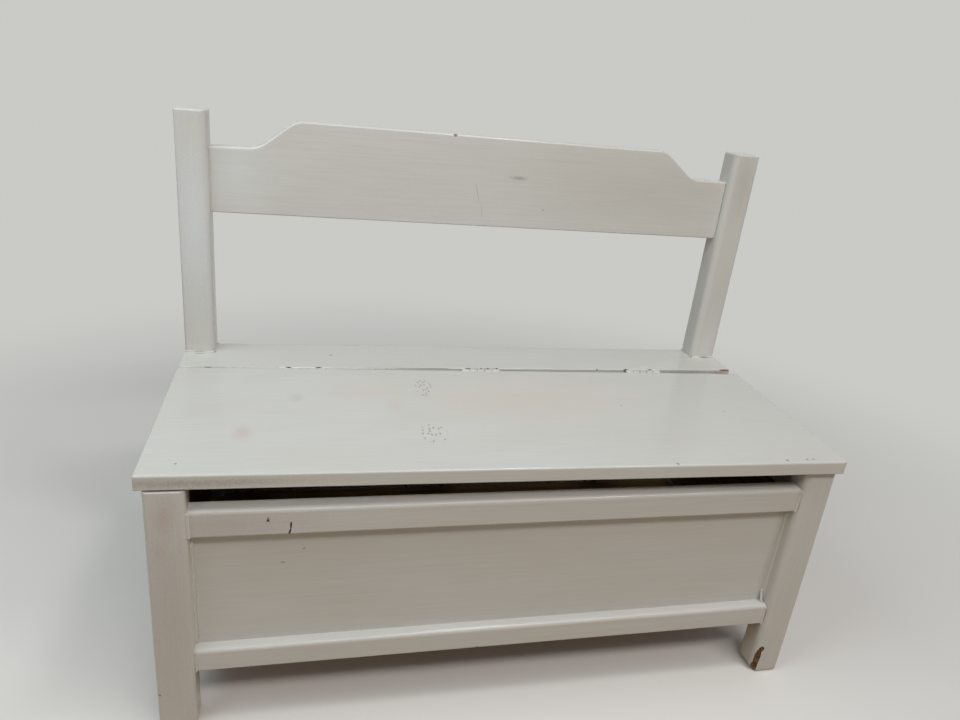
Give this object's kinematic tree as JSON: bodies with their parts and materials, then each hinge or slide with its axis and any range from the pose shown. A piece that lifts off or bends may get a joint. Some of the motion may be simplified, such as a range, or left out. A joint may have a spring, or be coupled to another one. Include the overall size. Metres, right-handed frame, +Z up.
{
  "type": "child's storage bench",
  "caption": "Low painted wooden bench for a child: panelled storage box under a hinged seat lid, and a shaped backrest board between two posts.",
  "frame": {"origin": "bottom centre of the bounding box, on the floor that the legs and posts stand on", "axes": "+X along the seat to the right as seen from the front, +Y from the front to the backrest, +Z up"},
  "size_m": [0.7426, 0.3354, 0.596],
  "materials": {
    "painted_wood": "brushed off-white satin paint",
    "bare_wood": "bare planed pine",
    "plywood": "bare plywood",
    "painted_steel": "overpainted with the bench's off-white paint",
    "steel": "bright zinc plated"
  },
  "bodies": {
    "frame": {"front_leg_left": "painted_wood", "front_leg_right": "painted_wood", "back_post_left": "painted_wood", "back_post_right": "painted_wood", "front_top_rail": "painted_wood", "front_bottom_rail": "painted_wood", "front_panel": "painted_wood", "side_top_rail_left": "painted_wood", "side_bottom_rail_left": "painted_wood", "side_panel_left": "painted_wood", "side_top_rail_right": "painted_wood", "side_bottom_rail_right": "painted_wood", "side_panel_right": "painted_wood", "back_top_rail": "painted_wood", "back_bottom_rail": "painted_wood", "back_panel": "painted_wood", "cleat_front": "bare_wood", "cleat_back": "bare_wood", "cleat_left": "bare_wood", "cleat_right": "bare_wood", "cleat_screw_front_left": "steel", "cleat_screw_back_left": "steel", "cleat_screw_left": "steel", "cleat_screw_front_right": "steel", "cleat_screw_back_right": "steel", "cleat_screw_right": "steel", "bottom_board": "plywood", "backrest_board": "painted_wood", "seat_strip": "painted_wood", "seat_strip_screw_left": "steel", "seat_strip_screw_middle": "steel", "seat_strip_screw_right": "steel", "hinge_left_strip_leaf": "painted_steel", "hinge_left_strip_screw_1": "steel", "hinge_left_strip_screw_2": "steel", "hinge_left_pin": "steel", "hinge_middle_strip_leaf": "painted_steel", "hinge_middle_strip_screw_1": "steel", "hinge_middle_strip_screw_2": "steel", "hinge_middle_pin": "steel", "hinge_right_strip_leaf": "painted_steel", "hinge_right_strip_screw_1": "steel", "hinge_right_strip_screw_2": "steel", "hinge_right_pin": "steel"},
    "seat_lid": {"lid": "painted_wood", "hinge_left_lid_leaf": "painted_steel", "hinge_left_lid_screw_1": "steel", "hinge_left_lid_screw_2": "steel", "hinge_middle_lid_leaf": "painted_steel", "hinge_middle_lid_screw_1": "steel", "hinge_middle_lid_screw_2": "steel", "hinge_right_lid_leaf": "painted_steel", "hinge_right_lid_screw_1": "steel", "hinge_right_lid_screw_2": "steel"}
  },
  "joints": [
    {"name": "lid_hinge", "type": "hinge", "parent": "frame", "child": "seat_lid", "pos_m": [0, 0.08492, 0.3025], "axis": [-1, 0, 0], "range_deg": [0, 100]}
  ]
}
